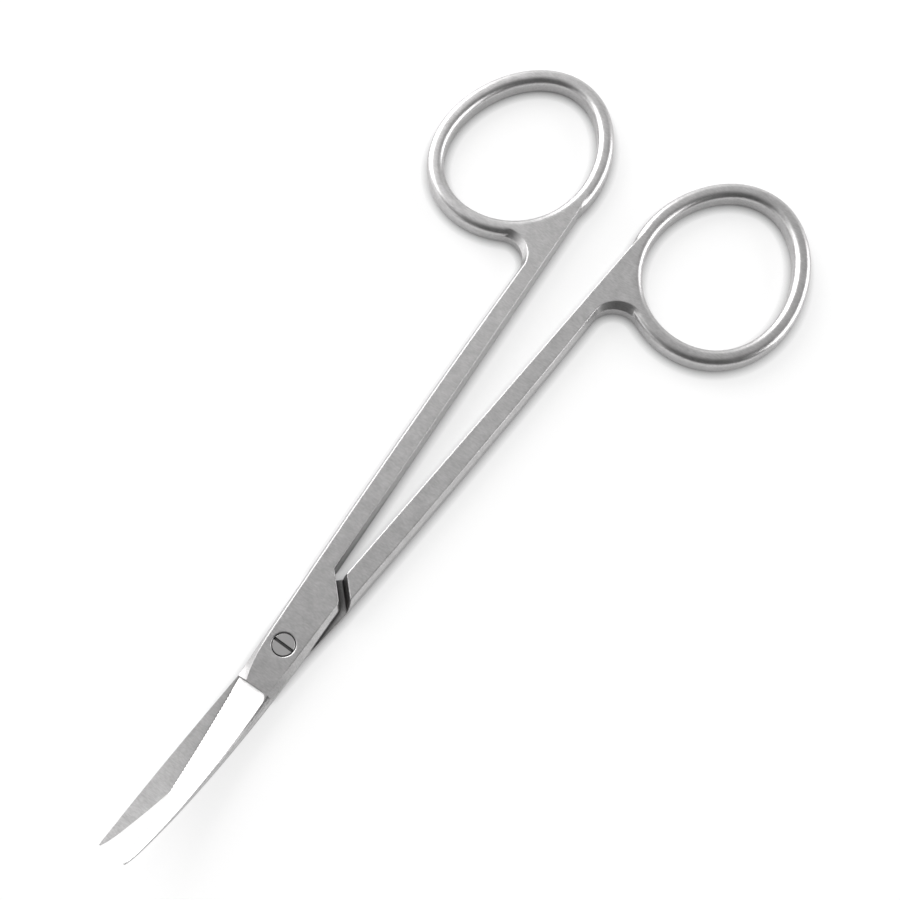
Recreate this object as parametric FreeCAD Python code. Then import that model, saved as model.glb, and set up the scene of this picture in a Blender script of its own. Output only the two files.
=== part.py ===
import FreeCAD, Part
import math
import os

# Small dissecting scissors with a lap joint and blades that curve up, in mm.
# They lie on a table at z = 0, slightly open. The pivot is on the z axis, the rings point to +y
# and the tips to -y. Each half is first made closed, with its ring on +x and its lap face at z = 0.

Vec = FreeCAD.Vector
UP = Vec(0, 0, 1)
ORIGIN = Vec(0, 0, 0)

# Stock and fits
stock_thickness = 3.3          # height of the shanks and rings
lap_gap = 0.04                 # running gap between the two lap faces
rest_opening = 6.86            # angle between the halves as they lie, degrees

# Shanks: distances from the closed centre line to the edges of the top face
shank_inner = 0.2              # inner edge, along the whole shank
upper_neck = 2.6               # outer edge at the upper half's neck
lower_neck = 2.95              # outer edge at the lower half's neck, ground less
shank_outer_ring = 1.9         # outer edge where the shank runs into the ring
shank_swell = 0.42             # how far the outer edge bows out between the two
shank_inner_bevel = 0.2        # how far the inner side stands out below its top edge
shank_outer_bevel = 0.44       # the same on the outer side
shank_bevel_height = 0.9       # height of the bevels, top and bottom

# Finger rings
ring_center_x = 12.7           # ring centre from the closed centre line
ring_center_y = 82.0           # ring centre from the pivot
ring_long_radius = 14.25       # to the middle of the ring's bar
ring_short_radius = 11.9
ring_lean = 9.4                # the long axis leans towards the other ring, degrees
ring_egg = 0.02                # share by which the oval is egg-shaped
ring_egg_turn = 33.0           # where the egg shape points, degrees
ring_bar_width = 2.58
ring_bar_corner = 1.0          # rounding of the bar's section
ring_corner_flats = 6          # flats that make up each rounded corner
ring_path_points = 16          # points that the oval is drawn through
web_radius = 3.8               # hollow between the shank and the ring, its upright wall
web_edge_radius = 4.2          # the hollow's top and bottom edges
web_sink = 0.03                # the hollow's wall starts this deep in the shank and the ring

# Joint plates, on their outer face and on their lap face
plate_side_outer = 2.5         # ring side at the pivot, outer face
plate_side_lap = 3.0           # ring side at the pivot, lap face
plate_spine_outer = 2.5        # spine side at the pivot, outer face
plate_spine_lap = 3.2          # spine side at the pivot, lap face
plate_taper_outer = 3.4        # the spine side widens towards the neck, degrees
plate_taper_lap = 1.8
plate_end = 6.75               # from the pivot to the step down to the blade
plate_end_slant = 0.25         # how far that step runs back across the plate
plate_corner_cut = 1.05        # how far the outer face's corner is drawn in at that step
plate_corner_cut_lap = 0.1     # the same on the lap face
root_corner_radius = 0.9       # round inner corner where that step meets the blade's back
root_corner_overlap = 0.03     # the corner reaches this far over the blade's back
shoulder_distance = 8.0        # from the pivot to the plate's shoulder
shoulder_angle = 48.4          # the shoulder's direction from the y axis, degrees
shoulder_corner = 0.5          # rounding of the shoulder's outer corner
corner_sag = 0.29              # how near a round corner's middle comes to the sharp corner
step_distance = 8.8            # from the pivot to the foot of the step up to the full stock
step_angle = 41.6              # the step's direction from the y axis, degrees
step_slope = 26.0              # the step leans back from the upright, degrees

# Blades
blade_length = 33.5            # pivot to tip, measured flat
blade_bend_start = 6.6         # where the upward curve starts
blade_bend_radius = 64.5       # radius of the lap face's upward curve
blade_root_thickness = 1.52
blade_tip_thickness = 0.34
blade_edge_thickness = 0.12    # flat left along the cutting edge
blade_relief = 0.05            # each blade's inner face lies this far behind its lap face
blade_tip_width = 0.2
upper_spine_root = 3.3         # spine from the centre line, carried back to the pivot
upper_spine_power = 0.66       # how the spine narrows to the tip
upper_spine_fullness = 1.0     # above 1 the spine stays broad and then narrows faster
lower_spine_root = 2.35        # the lower blade's spine is slimmer at the root
lower_spine_power = 1.0
lower_spine_fullness = 2.52
upper_edge_root = 3.29         # cutting edge of the upper blade, carried back to the pivot
upper_edge_power = 0.83
lower_edge_root = 3.15         # the lower blade stays broader towards its tip
lower_edge_power = 0.65
back_width_root = 1.15         # width of the rounded back, carried back to the pivot
back_width_tip = 0.1
back_foot_share = 0.12         # the back is flat up to this share of the thickness
blade_root_overlap = 1.0       # the blade reaches this far into the plate
blade_sections = 8
blade_crowding = 1.5           # above 1 the sections lie closer together towards the tip

# Serrated edge and hook notch of the upper blade
serration_start = 8.6          # from the pivot
serration_end = 25.4
serration_pitch = 0.5
serration_depth = 0.11
serration_overlap = 0.02       # the cutter starts this far outside the edge
notch_position = 27.3          # steep side of the notch, from the pivot
notch_length = 2.3
notch_depth = 0.4
notch_wall_share = 0.2         # the steep wall's share of the notch

# Pivot screw
screw_head_radius = 1.56
screw_head_height = 0.8
screw_head_clearance = 0.07
screw_seat_clearance = 0.03    # play under the head
screw_shaft_radius = 1.0
screw_shaft_clearance = 0.03
screw_thread_radius = 0.85
screw_thread_clearance = 0.02
screw_chamfer = 0.09
slot_width = 0.42
slot_depth = 0.4

half_stock = stock_thickness / 2
lap_offset = lap_gap / 2
bevel_foot = half_stock - shank_bevel_height
ring_flat = ring_bar_width / 2 - ring_bar_corner
search_halvings = 40           # halvings of the range where a crossing is looked for
shank_stretches = 4            # stretches between the sections of the shank and of its tail

# Each blade's spine and cutting edge: distance at the root, power, fullness
upper_spine = (upper_spine_root, upper_spine_power, upper_spine_fullness)
lower_spine = (lower_spine_root, lower_spine_power, lower_spine_fullness)
upper_edge = (upper_edge_root, upper_edge_power)
lower_edge = (lower_edge_root, lower_edge_power)


def turned(shape, angle):
    result = shape.copy()
    result.rotate(ORIGIN, UP, angle)
    return result


def wire_of(edges):
    return Part.Wire([edge.toShape() for edge in edges])


# Shank: a bevelled bar from the neck to the ring, drawn in where it runs along the ring's bar

def shank_outer_edge(y, neck):
    share = (y - shoulder_distance) / (ring_center_y - shoulder_distance)
    straight = neck + (shank_outer_ring - neck) * share
    return straight + 4 * shank_swell * share * (1 - share)


def shank_section(y, inner, outer):
    corners = [
        (inner, half_stock),
        (outer, half_stock),
        (outer + shank_outer_bevel, bevel_foot),
        (outer + shank_outer_bevel, -bevel_foot),
        (outer, -half_stock),
        (inner, -half_stock),
        (inner - shank_inner_bevel, -bevel_foot),
        (inner - shank_inner_bevel, bevel_foot),
    ]
    points = [Vec(x, y, z) for x, z in corners]
    return Part.makePolygon(points + [points[0]])


def ring_turn_at(y, offset):
    # where the ring's outline, moved outwards by offset, crosses y on the side of the shank
    low, high = math.pi, 2 * math.pi
    for halving in range(search_halvings):
        turn = (low + high) / 2
        if ring_point(turn, offset).y < y:
            low = turn
        else:
            high = turn
    return low


def ring_edge_x(y, offset):
    return ring_point(ring_turn_at(y, offset), offset).x


def joined_y(neck):
    # the shank is full width up to here, where the ring's flat top covers its outer edge
    low, high = ring_center_y - ring_long_radius / 2, ring_center_y
    for halving in range(search_halvings):
        middle = (low + high) / 2
        if ring_edge_x(middle, -ring_flat) > shank_outer_edge(middle, neck):
            low = middle
        else:
            high = middle
    return low


def make_shank(neck):
    joined = joined_y(neck)
    length = joined - shoulder_distance
    shares = [i / shank_stretches for i in range(shank_stretches + 1)]
    stations = [shoulder_distance + length * share for share in shares]
    shank = Part.makeLoft([shank_section(y, shank_inner, shank_outer_edge(y, neck))
                           for y in stations], True)
    inner_end = ring_edge_x(ring_center_y, ring_flat)
    tail = []
    for share in shares:
        y = joined + (ring_center_y - joined) * share
        inner = shank_inner + (inner_end - shank_inner) * share
        outer = min(ring_edge_x(y, -ring_flat), shank_outer_edge(y, neck))
        tail.append(shank_section(y, inner, outer))
    return shank.fuse(Part.makeLoft(tail, True, True))


def step_cutter():
    # clears the stock over the lap face, up to the leaning step at the neck
    reach = 2 * blade_length
    lean = math.tan(math.radians(step_slope)) * (stock_thickness + lap_offset)
    profile = [
        Vec(-reach, -reach, -lap_offset),
        Vec(-reach, step_distance, -lap_offset),
        Vec(-reach, step_distance + lean, stock_thickness),
        Vec(-reach, -reach, stock_thickness),
    ]
    face = Part.Face(Part.makePolygon(profile + [profile[0]]))
    return turned(face.extrude(Vec(2 * reach, 0, 0)), -step_angle)


# Ring: a rounded bar swept round a slightly egg-shaped oval

def ring_point(turn, offset=0.0):
    egg = 1 + ring_egg * math.cos(3 * turn - math.radians(ring_egg_turn))
    along = (ring_long_radius * egg + offset) * math.cos(turn)
    across = (ring_short_radius * egg + offset) * math.sin(turn)
    lean = math.radians(ring_lean)
    x = ring_center_x - math.sin(lean) * along + math.cos(lean) * across
    y = ring_center_y + math.cos(lean) * along + math.sin(lean) * across
    return Vec(x, y, 0)


def ring_section(center, outward):
    # each corner is rounded by short flats, so the ring keeps few faces
    high = half_stock - ring_bar_corner
    points = []
    for number, (side, level) in enumerate([(1, 1), (-1, 1), (-1, -1), (1, -1)]):
        for i in range(ring_corner_flats + 1):
            angle = (number + i / ring_corner_flats) * math.pi / 2
            sideways = side * ring_flat + ring_bar_corner * math.cos(angle)
            height = level * high + ring_bar_corner * math.sin(angle)
            points.append(center + outward * sideways + UP * height)
    return Part.makePolygon(points + [points[0]])


def make_ring():
    step = 2 * math.pi / ring_path_points
    points = [ring_point(step * i) for i in range(ring_path_points)]
    curve = Part.BSplineCurve()
    curve.interpolate(points, PeriodicFlag=True)
    path = Part.Wire([curve.toShape()])
    outward = curve.tangent(curve.FirstParameter)[0].cross(UP)
    return path.makePipeShell([ring_section(points[0], outward)], True, True)


# Web: fills the angle between the shank and the ring's bar, up to a round hollow

def hollow_center(neck, side, reach, radius):
    # centre of the circle that touches the shank, side beyond its top edge, and the ring,
    # reach beyond the middle of its bar
    low, high = math.pi, 1.5 * math.pi
    for halving in range(search_halvings):
        turn = (low + high) / 2
        center = ring_point(turn, reach + radius)
        if center.x > shank_outer_edge(center.y, neck) + side + radius:
            low = turn
        else:
            high = turn
    return center, turn


def web_wire(z, side, reach, radius, neck):
    center, turn = hollow_center(neck, side - web_sink, reach - web_sink, radius)
    joined = ring_turn_at(joined_y(neck), 0)
    toward_ring = (ring_point(turn) - center).normalize()
    toward_shank = Vec(-1, 0, 0)
    toward_both = (toward_ring + toward_shank).normalize()
    lift = Vec(0, 0, z)
    first = center + toward_shank * radius + lift
    middle = center + toward_both * radius + lift
    last = center + toward_ring * radius + lift
    on_ring = ring_point(turn) + lift
    beside_shank = ring_point((turn + joined) / 2) + lift
    at_shank = ring_point(joined) + lift
    root = Vec(at_shank.x, first.y, z)
    return wire_of([
        Part.Arc(first, middle, last),
        Part.LineSegment(last, on_ring),
        Part.Arc(on_ring, beside_shank, at_shank),
        Part.LineSegment(at_shank, root),
        Part.LineSegment(root, first),
    ])


def make_web(neck):
    edge = (0, ring_flat, web_edge_radius)
    wall = (shank_outer_bevel, ring_bar_width / 2, web_radius)
    levels = [(-half_stock, edge), (-bevel_foot, wall), (bevel_foot, wall), (half_stock, edge)]
    return Part.makeLoft([web_wire(z, *form, neck) for z, form in levels], True, True)


# Joint plate: bevelled on its outer face and full width on the lap face

def plate_outline(z, side, neck_side, spine, taper, spine_end, corner_cut):
    widening = math.tan(math.radians(taper))
    shoulder = math.radians(shoulder_angle)
    corner_y = (shoulder_distance - spine * math.sin(shoulder))
    corner_y = corner_y / (math.cos(shoulder) + widening * math.sin(shoulder))
    corner = Vec(-(spine + widening * corner_y), corner_y, z)
    up_shoulder = Vec(math.cos(shoulder), math.sin(shoulder), 0)
    down_spine = Vec(widening, -1, 0).normalize()
    before = corner + down_spine * shoulder_corner
    after = corner + up_shoulder * shoulder_corner
    rounding = corner + (up_shoulder + down_spine) * (shoulder_corner * corner_sag)
    neck_y = (shoulder_distance + shank_inner * math.sin(shoulder)) / math.cos(shoulder)
    neck = Vec(shank_inner, neck_y, z)
    top = Vec(neck_side, neck_y, z)
    joint_side = Vec(neck_side, shoulder_distance, z)
    waist = Vec(side, 0, z)
    bulge = Vec(side - corner_cut * corner_sag, -plate_end / 2, z)
    side_end = Vec(side - corner_cut, -plate_end + plate_end_slant, z)
    root = Vec(-spine_end, -plate_end, z)
    spine_waist = Vec(-spine, 0, z)
    return wire_of([
        Part.LineSegment(top, joint_side),
        Part.LineSegment(joint_side, waist),
        Part.Arc(waist, bulge, side_end),
        Part.LineSegment(side_end, root),
        Part.LineSegment(root, spine_waist),
        Part.LineSegment(spine_waist, before),
        Part.Arc(before, rounding, after),
        Part.LineSegment(after, neck),
        Part.LineSegment(neck, top),
    ])


def make_root_corner(spine_profile):
    # fills the inner corner between the step at the plate's end and the blade's back
    back = narrowing(plate_end, *spine_profile) - back_width(plate_end) + root_corner_overlap
    corner = Vec(-back, -plate_end, -half_stock)
    across = Vec(root_corner_radius, 0, 0)
    along = Vec(0, root_corner_radius, 0)
    foot = Vec(0, plate_end_slant, 0)
    outline = wire_of([
        Part.LineSegment(corner + along, corner - along),
        Part.Arc(corner - along, corner + (across - along) * corner_sag,
                 corner + across + foot),
        Part.LineSegment(corner + across + foot, corner + across + along),
        Part.LineSegment(corner + across + along, corner + along),
    ])
    return Part.Face(outline).extrude(Vec(0, 0, half_stock - bevel_foot))


def make_plate(neck, spine_profile):
    neck_outer = shank_outer_edge(shoulder_distance, neck)
    neck_lap = neck_outer + shank_outer_bevel
    blade_spine = narrowing(plate_end, *spine_profile)
    blade_back = blade_spine - back_width(plate_end)
    outer = plate_outline(-half_stock, plate_side_outer, neck_outer, plate_spine_outer,
                          plate_taper_outer, blade_back, plate_corner_cut)
    lap = [plate_outline(z, plate_side_lap, neck_lap, plate_spine_lap, plate_taper_lap,
                         blade_spine, plate_corner_cut_lap)
           for z in (-bevel_foot, -lap_offset)]
    return Part.makeLoft([outer] + lap, True, True).fuse(make_root_corner(spine_profile))


def make_handle(neck, spine_profile):
    # ring, shank and joint plate of the lower half, closed, lap face at z = 0
    shank = make_shank(neck).cut(step_cutter())
    bar = shank.fuse(make_plate(neck, spine_profile)).removeSplitter()
    return bar.multiFuse([make_ring(), make_web(neck)])


# Blades

def narrowing(s, root, power, fullness=1.0):
    tip = blade_tip_width / 2
    share = min(s / blade_length, 1.0)
    return tip + (root - tip) * (1 - share ** fullness) ** power


def back_width(s):
    return back_width_tip + back_width_root * (1 - s / blade_length) ** 2


def bend_height(s):
    past = max(s - blade_bend_start, 0.0)
    return blade_bend_radius - math.sqrt(blade_bend_radius ** 2 - past ** 2)


def blade_section(s, side, level, spine_profile, edge_profile):
    # side is +1 where the cutting edge faces +x, level is +1 where the outer face is on top
    share = s / blade_length
    thickness = blade_root_thickness + (blade_tip_thickness - blade_root_thickness) * share
    spine = narrowing(s, *spine_profile)
    edge = narrowing(s, *edge_profile)
    back = min(back_width(s), spine)
    base = bend_height(s) + level * (lap_offset + blade_relief)

    def at(across, height):
        return Vec(side * across, -s, base + level * height)

    ridge = at(back - spine, thickness)
    middle = at(back * corner_sag - spine, thickness * (1 - corner_sag))
    back_foot = at(-spine, thickness * back_foot_share)
    return wire_of([
        Part.LineSegment(at(-spine, 0), at(edge, 0)),
        Part.LineSegment(at(edge, 0), at(edge, blade_edge_thickness)),
        Part.LineSegment(at(edge, blade_edge_thickness), ridge),
        Part.Arc(ridge, middle, back_foot),
        Part.LineSegment(back_foot, at(-spine, 0)),
    ])


def make_blade(side, level, spine_profile, edge_profile):
    start = plate_end - blade_root_overlap
    length = blade_length - start
    shares = [i / blade_sections for i in range(blade_sections + 1)]
    stations = [blade_length - length * (1 - share) ** blade_crowding for share in shares]
    wires = [blade_section(s, side, level, spine_profile, edge_profile) for s in stations]
    return Part.makeLoft(wires, True)


def edge_point(s, side, inset):
    # a point beside the upper blade's cutting edge, below the blade
    across = narrowing(s, *upper_edge) - inset
    return Vec(side * across, -s, -stock_thickness)


def upright_cutter(outline):
    return Part.Face(outline).extrude(Vec(0, 0, 2 * stock_thickness + blade_length))


def serration_cutter(side):
    # a comb outside the cutting edge whose teeth reach into it
    count = int(round((serration_end - serration_start) / serration_pitch))
    points = []
    for i in range(count):
        s = serration_start + i * serration_pitch
        points.append(edge_point(s, side, -serration_overlap))
        points.append(edge_point(s + serration_pitch / 2, side, serration_depth))
    last = serration_start + count * serration_pitch
    points.append(edge_point(last, side, -serration_overlap))
    away = Vec(side * upper_edge_root, 0, 0)
    points.append(points[-1] + away)
    points.append(points[0] + away)
    points.append(points[0])
    return upright_cutter(Part.makePolygon(points))


def notch_cutter(side):
    lip = edge_point(notch_position, side, 0)
    wall = edge_point(notch_position + notch_wall_share * notch_length, side, notch_depth)
    floor = edge_point(notch_position + notch_length / 2, side, notch_depth)
    end = edge_point(notch_position + notch_length, side, 0)
    away = Vec(side * upper_edge_root, 0, 0)
    return upright_cutter(wire_of([
        Part.LineSegment(lip + away, lip),
        Part.LineSegment(lip, wall),
        Part.Arc(wall, floor, end),
        Part.LineSegment(end, end + away),
        Part.LineSegment(end + away, lip + away),
    ]))


# Pivot screw and its holes, with the lap plane at z = 0

def rod(radius, bottom, top):
    return Part.makeCylinder(radius, top - bottom, Vec(0, 0, bottom))


def make_screw():
    seat = half_stock - screw_head_height
    thread = rod(screw_thread_radius, -half_stock, -lap_offset)
    shaft = rod(screw_shaft_radius, -lap_offset, seat)
    head = rod(screw_head_radius, seat, half_stock - screw_chamfer)
    crown = Part.makeCone(screw_head_radius, screw_head_radius - screw_chamfer, screw_chamfer,
                          Vec(0, 0, half_stock - screw_chamfer))
    slot = Part.makeBox(4 * screw_head_radius, slot_width, slot_depth,
                        Vec(-2 * screw_head_radius, -slot_width / 2, half_stock - slot_depth))
    return thread.multiFuse([shaft, head, crown]).cut(slot).removeSplitter()


def upper_hole():
    bore = rod(screw_shaft_radius + screw_shaft_clearance, -stock_thickness, stock_thickness)
    recess_radius = screw_head_radius + screw_head_clearance
    recess_floor = half_stock - screw_head_height - screw_seat_clearance
    recess = rod(recess_radius, recess_floor, stock_thickness)
    rim = Part.makeCone(recess_radius, recess_radius + 2 * screw_chamfer, 2 * screw_chamfer,
                        Vec(0, 0, half_stock - screw_chamfer))
    return bore.multiFuse([recess, rim])


def lower_hole():
    return rod(screw_thread_radius + screw_thread_clearance, -stock_thickness, stock_thickness)


# The two halves, each closed, then opened to where it lies

def make_lower_half():
    blade = make_blade(1, -1, lower_spine, lower_edge)
    half = make_handle(lower_neck, lower_spine).fuse(blade).cut(lower_hole())
    return turned(half.Solids[0], -rest_opening / 2)


def make_upper_half():
    handle = make_handle(upper_neck, upper_spine)
    handle.rotate(ORIGIN, Vec(0, 1, 0), 180)
    blade = make_blade(-1, 1, upper_spine, upper_edge)
    blade = blade.cut(serration_cutter(-1)).cut(notch_cutter(-1))
    half = handle.fuse(blade).cut(upper_hole())
    return turned(half.Solids[0], rest_opening / 2)


def main():
    os.makedirs("parts", exist_ok=True)
    nodes = {
        "lower_half": make_lower_half(),
        "upper_half": make_upper_half(),
        "pivot_screw": make_screw(),
    }
    for name, shape in nodes.items():
        shape.translate(Vec(0, 0, half_stock))
        box = shape.BoundBox
        print(name, "valid", shape.isValid(), "solids", len(shape.Solids), "faces", len(shape.Faces),
              "volume %.2f" % shape.Volume,
              "box %.2f %.2f %.2f to %.2f %.2f %.2f" % (box.XMin, box.YMin, box.ZMin,
                                                        box.XMax, box.YMax, box.ZMax))
        shape.exportStep("parts/%s.step" % name)


main()
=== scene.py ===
import bpy, bmesh, math
from mathutils import Matrix, Vector


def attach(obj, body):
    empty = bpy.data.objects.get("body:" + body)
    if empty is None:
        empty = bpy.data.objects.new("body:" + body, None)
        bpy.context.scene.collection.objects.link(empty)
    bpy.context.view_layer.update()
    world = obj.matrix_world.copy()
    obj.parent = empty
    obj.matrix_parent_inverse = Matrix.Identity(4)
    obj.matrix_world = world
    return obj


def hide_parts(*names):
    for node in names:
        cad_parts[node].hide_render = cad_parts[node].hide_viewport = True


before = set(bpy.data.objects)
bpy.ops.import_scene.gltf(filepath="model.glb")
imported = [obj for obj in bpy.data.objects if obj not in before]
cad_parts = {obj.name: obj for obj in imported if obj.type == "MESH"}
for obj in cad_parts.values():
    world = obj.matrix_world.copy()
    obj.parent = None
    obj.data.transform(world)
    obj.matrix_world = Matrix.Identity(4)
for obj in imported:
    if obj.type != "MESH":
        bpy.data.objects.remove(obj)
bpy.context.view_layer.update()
print("frame loaded:", sorted(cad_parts))

plainWhite = (1, 1, 1, 1)


def hexToLinear(text):
    parts = [int(text[i:i + 2], 16) / 255 for i in (1, 3, 5)]
    return tuple(c / 12.92 if c <= 0.04045 else ((c + 0.055) / 1.055) ** 2.4 for c in parts) + (1.0,)


def fromMm(length):
    return length / 1000


def addNode(tree, kind, links=None, inputs=None, **settings):
    node = tree.nodes.new(kind)
    for name, value in settings.items():
        setattr(node, name, value)
    for name, value in (inputs or {}).items():
        node.inputs[name].default_value = value
    for name, source in (links or {}).items():
        tree.links.new(source, node.inputs[name])
    return node


def newMaterial(name):
    material = bpy.data.materials.new(name)
    material.use_nodes = True
    material.node_tree.nodes.clear()
    return material, material.node_tree


# the photograph's camera: its place in metres from the floor under the screw, and its three directions
cameraLook = {
    "place": (0.04137, -0.01973, 0.18623),
    "right": (0.8118, 0.5840, 0.0), "up": (-0.5477, 0.7614, 0.3469), "back": (0.2026, -0.2816, 0.9379),
    "focalPixels": 1400.0, "framePixels": 900.0, "sensorMm": 36.0, "nearestMm": 10.0,
}


def aimCamera():
    data = bpy.data.cameras.new("photoView")
    data.sensor_fit = "HORIZONTAL"
    data.sensor_width = cameraLook["sensorMm"]
    data.lens = cameraLook["sensorMm"] * cameraLook["focalPixels"] / cameraLook["framePixels"]
    data.clip_start = fromMm(cameraLook["nearestMm"])
    camera = bpy.data.objects.new("photoView", data)
    axes = Matrix([cameraLook["right"], cameraLook["up"], cameraLook["back"]]).transposed()
    camera.matrix_world = Matrix.Translation(Vector(cameraLook["place"])) @ axes.to_4x4()
    bpy.context.scene.collection.objects.link(camera)
    bpy.context.scene.camera = camera


def photoDirection(aim):
    # right and away as the photograph shows them, and up from the floor, turned into the model's frame
    right = Vector(cameraLook["right"])
    away = Vector((-right.y, right.x, 0))
    return (right * aim[0] + away * aim[1] + Vector((0, 0, aim[2]))).normalized()


# aim is right, away and up from the scissors as the photograph shows them; distance and size in metres
softboxes = {
    "leftBox": {"aim": (-0.50, 0.72, 0.47), "distance": 0.9, "size": (0.72, 0.84), "radiance": 4.0},
    "lowLeftBox": {"aim": (-0.95, -0.15, 0.30), "distance": 0.9, "size": (0.90, 0.24), "radiance": 1.2},
    "rightBox": {"aim": (0.94, 0.08, 0.36), "distance": 0.9, "size": (0.90, 0.52), "radiance": 3.3},
}


def addSoftbox(name, box):
    data = bpy.data.lights.new(name, "AREA")
    data.shape = "RECTANGLE"
    data.size, data.size_y = box["size"]
    data.energy = box["radiance"] * math.pi * data.size * data.size_y
    lamp = bpy.data.objects.new(name, data)
    direction = photoDirection(box["aim"])
    lamp.location = direction * box["distance"]
    lamp.rotation_euler = direction.to_track_quat("Z", "Y").to_euler()
    bpy.context.scene.collection.objects.link(lamp)


floorLook = {
    "reach": 0.5,  # metres from the middle to each side
    "color": "#F8F8F8", "glow": 1.08,
    "glowShare": 0.68, "mirroredShare": 0.34,  # how much glow the camera sees, and reflections
    "contactMm": 1.4, "contactSamples": 8,
}


def matteWhitePaper():
    # uncoated white paper: no gloss, and so bright that the floor runs into the white room
    material, tree = newMaterial("matteWhitePaper")
    path = addNode(tree, "ShaderNodeLightPath")
    bounced = addNode(tree, "ShaderNodeMath",
                      {0: path.outputs["Is Glossy Ray"], 1: path.outputs["Is Transmission Ray"]},
                      operation="MAXIMUM")
    mirrored = addNode(tree, "ShaderNodeMath", {0: bounced.outputs[0]}, {1: floorLook["mirroredShare"]},
                       operation="MULTIPLY")
    share = addNode(tree, "ShaderNodeMath", {0: path.outputs["Is Camera Ray"], 2: mirrored.outputs[0]},
                    {1: floorLook["glowShare"]}, operation="MULTIPLY_ADD")

    # the glow fades where the steel lies on the paper, so that the contact shadow stays dark
    contact = addNode(tree, "ShaderNodeAmbientOcclusion", inputs={"Distance": fromMm(floorLook["contactMm"])},
                      samples=floorLook["contactSamples"])
    strength = addNode(tree, "ShaderNodeMath", {0: contact.outputs["AO"]}, {1: floorLook["glow"]},
                       operation="MULTIPLY")
    matte = addNode(tree, "ShaderNodeBsdfDiffuse", inputs={"Color": hexToLinear(floorLook["color"])})
    glow = addNode(tree, "ShaderNodeEmission", {"Strength": strength.outputs[0]}, {"Color": plainWhite})
    mixed = addNode(tree, "ShaderNodeMixShader",
                    {0: share.outputs[0], 1: matte.outputs[0], 2: glow.outputs[0]})
    addNode(tree, "ShaderNodeOutputMaterial", {"Surface": mixed.outputs[0]})
    return material


def makeFloor():
    shape = bmesh.new()
    bmesh.ops.create_grid(shape, x_segments=1, y_segments=1, size=floorLook["reach"])
    mesh = bpy.data.meshes.new("paperSweep")
    shape.to_mesh(mesh)
    shape.free()
    mesh.materials.append(matteWhitePaper())
    floor = bpy.data.objects.new("paperSweep", mesh)
    bpy.context.scene.collection.objects.link(floor)


roomLook = {
    "brightSide": (-0.40, 0.92, 0.0),  # right, away and up, as for the softboxes
    "grays": [(0.0, 0.13), (0.38, 0.13), (0.56, 0.45), (1.0, 1.30)],  # from the dark side to the bright side
}


def lightRoom():
    # the camera sees a white room, and the steel reflects one that is dark near the camera
    world = bpy.data.worlds.new("studioRoom")
    bpy.context.scene.world = world
    world.use_nodes = True
    tree = world.node_tree
    tree.nodes.clear()
    path = addNode(tree, "ShaderNodeLightPath")
    place = addNode(tree, "ShaderNodeTexCoord")
    brightSide = tuple(photoDirection(roomLook["brightSide"]))
    along = addNode(tree, "ShaderNodeVectorMath", {0: place.outputs["Generated"]}, {1: brightSide},
                    operation="DOT_PRODUCT")
    across = addNode(tree, "ShaderNodeMapRange", {"Value": along.outputs["Value"]},
                     {"From Min": -1.0, "From Max": 1.0})
    grays = addNode(tree, "ShaderNodeValToRGB", {"Fac": across.outputs[0]})
    ramp = grays.color_ramp
    while len(ramp.elements) < len(roomLook["grays"]):
        ramp.elements.new(1.0)
    for element, (position, gray) in zip(ramp.elements, roomLook["grays"]):
        element.position = position
        element.color = (gray, gray, gray, 1)
    room = addNode(tree, "ShaderNodeBackground", {"Color": grays.outputs[0]}, {"Strength": 1.0})
    white = addNode(tree, "ShaderNodeBackground", inputs={"Color": plainWhite, "Strength": 1.0})
    mixed = addNode(tree, "ShaderNodeMixShader",
                    {0: path.outputs["Is Camera Ray"], 1: room.outputs[0], 2: white.outputs[0]})
    addNode(tree, "ShaderNodeOutputWorld", {"Surface": mixed.outputs[0]})
    for name, box in softboxes.items():
        addSoftbox(name, box)


scissorPieces = {
    "lowerHalf": {"node": "lower_half", "body": "lower_arm", "slot": "instrument_steel"},
    "upperHalf": {"node": "upper_half", "body": "upper_arm", "slot": "instrument_steel"},
    "pivotScrew": {"node": "pivot_screw", "body": "lower_arm", "slot": "screw_steel"},
}
smoothing = {"joinMm": 0.002, "sharpDegrees": 22.0}


def smoothCopy(pieceName, piece, finish):
    # the solid's loose triangles are joined, and only its real corners stay sharp
    shape = bmesh.new()
    shape.from_mesh(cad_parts[piece["node"]].data)
    bmesh.ops.remove_doubles(shape, verts=shape.verts, dist=fromMm(smoothing["joinMm"]))
    for face in shape.faces:
        face.smooth = True
        face.material_index = 0
    for edge in shape.edges:
        edge.smooth = edge.is_manifold and edge.calc_face_angle() < math.radians(smoothing["sharpDegrees"])
    mesh = bpy.data.meshes.new(pieceName)
    shape.to_mesh(mesh)
    shape.free()
    mesh.materials.append(finish)
    copy = bpy.data.objects.new(pieceName, mesh)
    bpy.context.scene.collection.objects.link(copy)
    weighted = copy.modifiers.new("flatFaces", "WEIGHTED_NORMAL")
    weighted.mode = "FACE_AREA_WITH_ANGLE"
    weighted.keep_sharp = True
    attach(copy, piece["body"])
    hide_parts(piece["node"])


def paintedCreviceShade(tree, shadeInCrevice):
    # paints shade into the colour: darkens narrow gaps, where light doesn't reach
    near = addNode(tree, "ShaderNodeAmbientOcclusion", inputs={"Distance": fromMm(shadeInCrevice["reachMm"])},
                   samples=shadeInCrevice["samples"])
    return addNode(tree, "ShaderNodeMapRange", {"Value": near.outputs["AO"]},
                   {"From Min": shadeInCrevice["from"], "From Max": shadeInCrevice["to"],
                    "To Min": shadeInCrevice["dark"], "To Max": 1.0})


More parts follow.
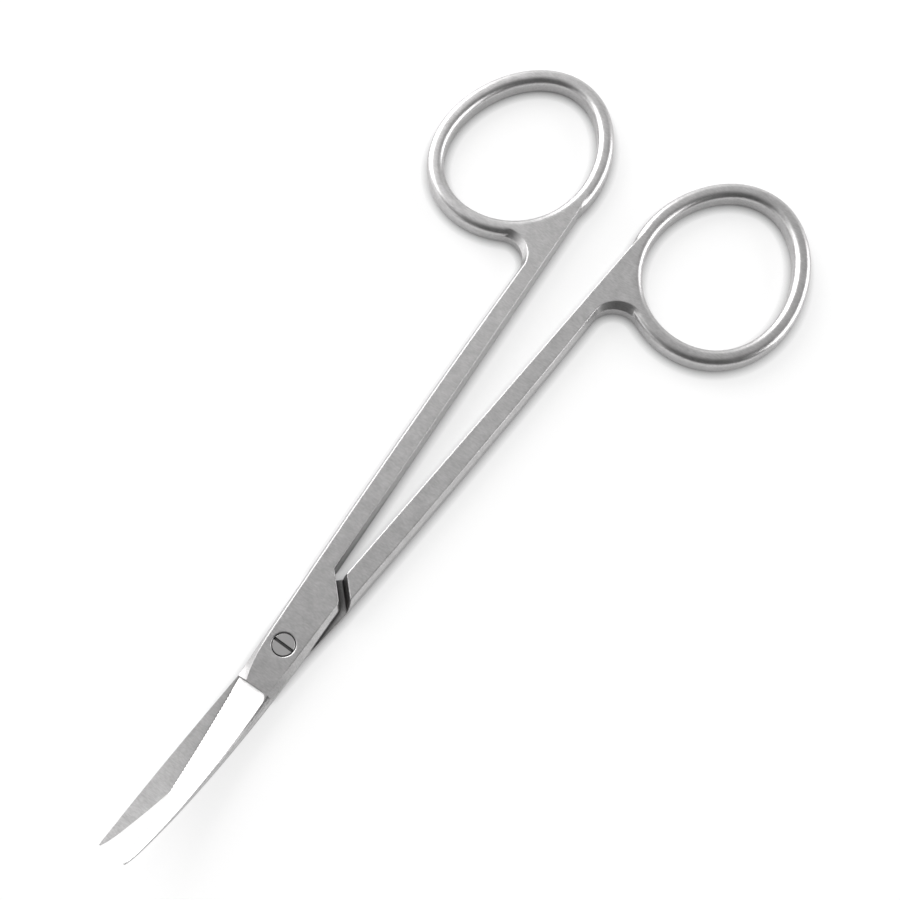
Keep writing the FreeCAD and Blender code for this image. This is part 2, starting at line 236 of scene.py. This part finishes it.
# faces are the halves' level flats, and walls are their bevels, sides and round rings
instrumentFinish = {
    "faceColor": "#B4B3B3", "faceRough": 0.36, "wallColor": "#C4C3C3", "wallRough": 0.33,
    "flatFrom": 0.955, "flatTo": 0.995,  # how level a surface is, as it turns from wall to face
    "bladeEdgeMm": 0.03, "shankEdgeMm": 0.28, "edgeSamples": 8,
    "keenFromMm": -4.0, "keenToMm": 0.0,  # edges turn from keen to round along here, up to the screw
    "gritMm": 0.18,  # real grit lines are about 0.03 mm apart, too fine to show
    "gritLengthMm": 0.6, "gritDetail": 4.0, "gritDepth": 0.08, "gritHeightMm": 0.02, "gritTone": 0.11,
    "cloudMm": 1.6, "cloudDetail": 6.0, "cloudRough": 0.04, "cloudTone": 0.06,
    "noiseFrom": 0.3, "noiseTo": 0.7,  # nearly all of the noise lies between these
    # painted shade in narrow gaps, on the level flats and on the walls
    "faceCreviceShade": {"reachMm": 1.6, "from": 0.40, "to": 0.88, "dark": 0.08, "samples": 8},
    "wallCreviceShade": {"reachMm": 4.0, "from": 0.15, "to": 0.50, "dark": 0.30, "samples": 8},
}


def satinStainless():
    # stainless steel, its flats belt-finished and its bevels and rings tumbled: the flats look soft, even and
    # gray, with short streaks across the shanks, and the rounded parts look brighter with sharper lights
    material, tree = newMaterial("satinStainless")
    look = instrumentFinish
    place = addNode(tree, "ShaderNodeTexCoord")
    upright = addNode(tree, "ShaderNodeSeparateXYZ", {"Vector": place.outputs["Normal"]})
    level = addNode(tree, "ShaderNodeMath", {0: upright.outputs["Z"]}, operation="ABSOLUTE")
    flat = addNode(tree, "ShaderNodeMapRange", {"Value": level.outputs[0]},
                   {"From Min": look["flatFrom"], "From Max": look["flatTo"]})

    lengthwise, crosswise = 1 / fromMm(look["gritLengthMm"]), 1 / fromMm(look["gritMm"])
    streaks = addNode(tree, "ShaderNodeMapping", {"Vector": place.outputs["Object"]},
                      {"Scale": (lengthwise, crosswise, crosswise)})
    grit = addNode(tree, "ShaderNodeTexNoise", {"Vector": streaks.outputs[0]},
                   {"Scale": 1.0, "Detail": look["gritDetail"]})
    cloud = addNode(tree, "ShaderNodeTexNoise", {"Vector": place.outputs["Object"]},
                    {"Scale": 1 / fromMm(look["cloudMm"]), "Detail": look["cloudDetail"]})

    finishRough = addNode(tree, "ShaderNodeMix", {0: flat.outputs[0]},
                          {2: look["wallRough"], 3: look["faceRough"]}, data_type="FLOAT")
    cloudRough = addNode(tree, "ShaderNodeMapRange", {"Value": cloud.outputs[0]},
                         {"To Min": -look["cloudRough"], "To Max": look["cloudRough"]})
    rough = addNode(tree, "ShaderNodeMath", {0: finishRough.outputs[0], 1: cloudRough.outputs[0]},
                    operation="ADD")

    # the color is scaled by the grit, the clouds and the painted shade in the gaps
    color = addNode(tree, "ShaderNodeMix", {0: flat.outputs[0]},
                    {6: hexToLinear(look["wallColor"]), 7: hexToLinear(look["faceColor"])}, data_type="RGBA")
    tones = [addNode(tree, "ShaderNodeMapRange", {"Value": noise.outputs[0]},
                     {"From Min": look["noiseFrom"], "From Max": look["noiseTo"],
                      "To Min": 1 - amount, "To Max": 1 + amount})
             for noise, amount in ((grit, look["gritTone"]), (cloud, look["cloudTone"]))]
    # painted shade: the colour is darkened in narrow gaps between and around the halves
    facePaintedShade = paintedCreviceShade(tree, look["faceCreviceShade"])
    wallPaintedShade = paintedCreviceShade(tree, look["wallCreviceShade"])
    paintedGapShade = addNode(tree, "ShaderNodeMix", {0: flat.outputs[0], 2: wallPaintedShade.outputs[0], 3: facePaintedShade.outputs[0]},
                  data_type="FLOAT")
    shaded = color.outputs[2]
    for tone in tones + [paintedGapShade]:
        shaded = addNode(tree, "ShaderNodeVectorMath", {0: shaded, "Scale": tone.outputs[0]},
                         operation="SCALE").outputs[0]

    # the shanks' edges are rounded by polishing, and the blades' edges stay keen
    along = addNode(tree, "ShaderNodeSeparateXYZ", {"Vector": place.outputs["Object"]})
    edgeRadius = addNode(tree, "ShaderNodeMapRange", {"Value": along.outputs["Y"]},
                         {"From Min": fromMm(look["keenFromMm"]), "From Max": fromMm(look["keenToMm"]),
                          "To Min": fromMm(look["bladeEdgeMm"]), "To Max": fromMm(look["shankEdgeMm"])})
    rounded = addNode(tree, "ShaderNodeBevel", {"Radius": edgeRadius.outputs[0]}, samples=look["edgeSamples"])
    bump = addNode(tree, "ShaderNodeBump", {"Height": grit.outputs[0], "Normal": rounded.outputs[0]},
                   {"Strength": look["gritDepth"], "Distance": fromMm(look["gritHeightMm"])})
    steel = addNode(tree, "ShaderNodeBsdfPrincipled",
                    {"Base Color": shaded, "Roughness": rough.outputs[0], "Normal": bump.outputs[0]},
                    {"Metallic": 1.0})
    addNode(tree, "ShaderNodeOutputMaterial", {"Surface": steel.outputs[0]})
    return material


screwFinish = {
    "color": "#B8B7B7", "rough": 0.30, "edgeMm": 0.03, "edgeSamples": 6,
    "ringMm": 0.15,  # real turning marks are about 0.05 mm apart, too fine to show
    "ringDepth": 0.06, "ringHeightMm": 0.01,
    # painted shade in the slot and other narrow recesses of the head
    "shadeInCrevice": {"reachMm": 0.5, "from": 0.55, "to": 0.95, "dark": 0.12, "samples": 8},
}
waveTurn = math.tau / 20  # the wave texture turns 20 radians in one unit


def turnedStainless():
    # stainless steel, faced on a lathe: an even gray head with faint rings round the slot, which painted
    # shade makes dark
    material, tree = newMaterial("turnedStainless")
    look = screwFinish
    place = addNode(tree, "ShaderNodeTexCoord")
    rings = addNode(tree, "ShaderNodeTexWave", {"Vector": place.outputs["Object"]},
                    {"Scale": waveTurn / fromMm(look["ringMm"])}, wave_type="RINGS", rings_direction="Z")
    rounded = addNode(tree, "ShaderNodeBevel", inputs={"Radius": fromMm(look["edgeMm"])},
                      samples=look["edgeSamples"])
    bump = addNode(tree, "ShaderNodeBump", {"Height": rings.outputs["Fac"], "Normal": rounded.outputs[0]},
                   {"Strength": look["ringDepth"], "Distance": fromMm(look["ringHeightMm"])})
    # painted shade: the colour is darkened in the slot and other narrow recesses
    paintedGapShade = paintedCreviceShade(tree, look["shadeInCrevice"])
    shaded = addNode(tree, "ShaderNodeVectorMath", {"Scale": paintedGapShade.outputs[0]},
                     {0: hexToLinear(look["color"])[:3]}, operation="SCALE")
    steel = addNode(tree, "ShaderNodeBsdfPrincipled",
                    {"Base Color": shaded.outputs[0], "Normal": bump.outputs[0]},
                    {"Metallic": 1.0, "Roughness": look["rough"]})
    addNode(tree, "ShaderNodeOutputMaterial", {"Surface": steel.outputs[0]})
    return material


aimCamera()
makeFloor()
lightRoom()
print("camera, floor and lights made")

finishes = {"instrument_steel": satinStainless(), "screw_steel": turnedStainless()}
for pieceName, piece in scissorPieces.items():
    smoothCopy(pieceName, piece, finishes[piece["slot"]])
print("pieces smoothed and finished")

bpy.context.scene.view_settings.view_transform = "Standard"
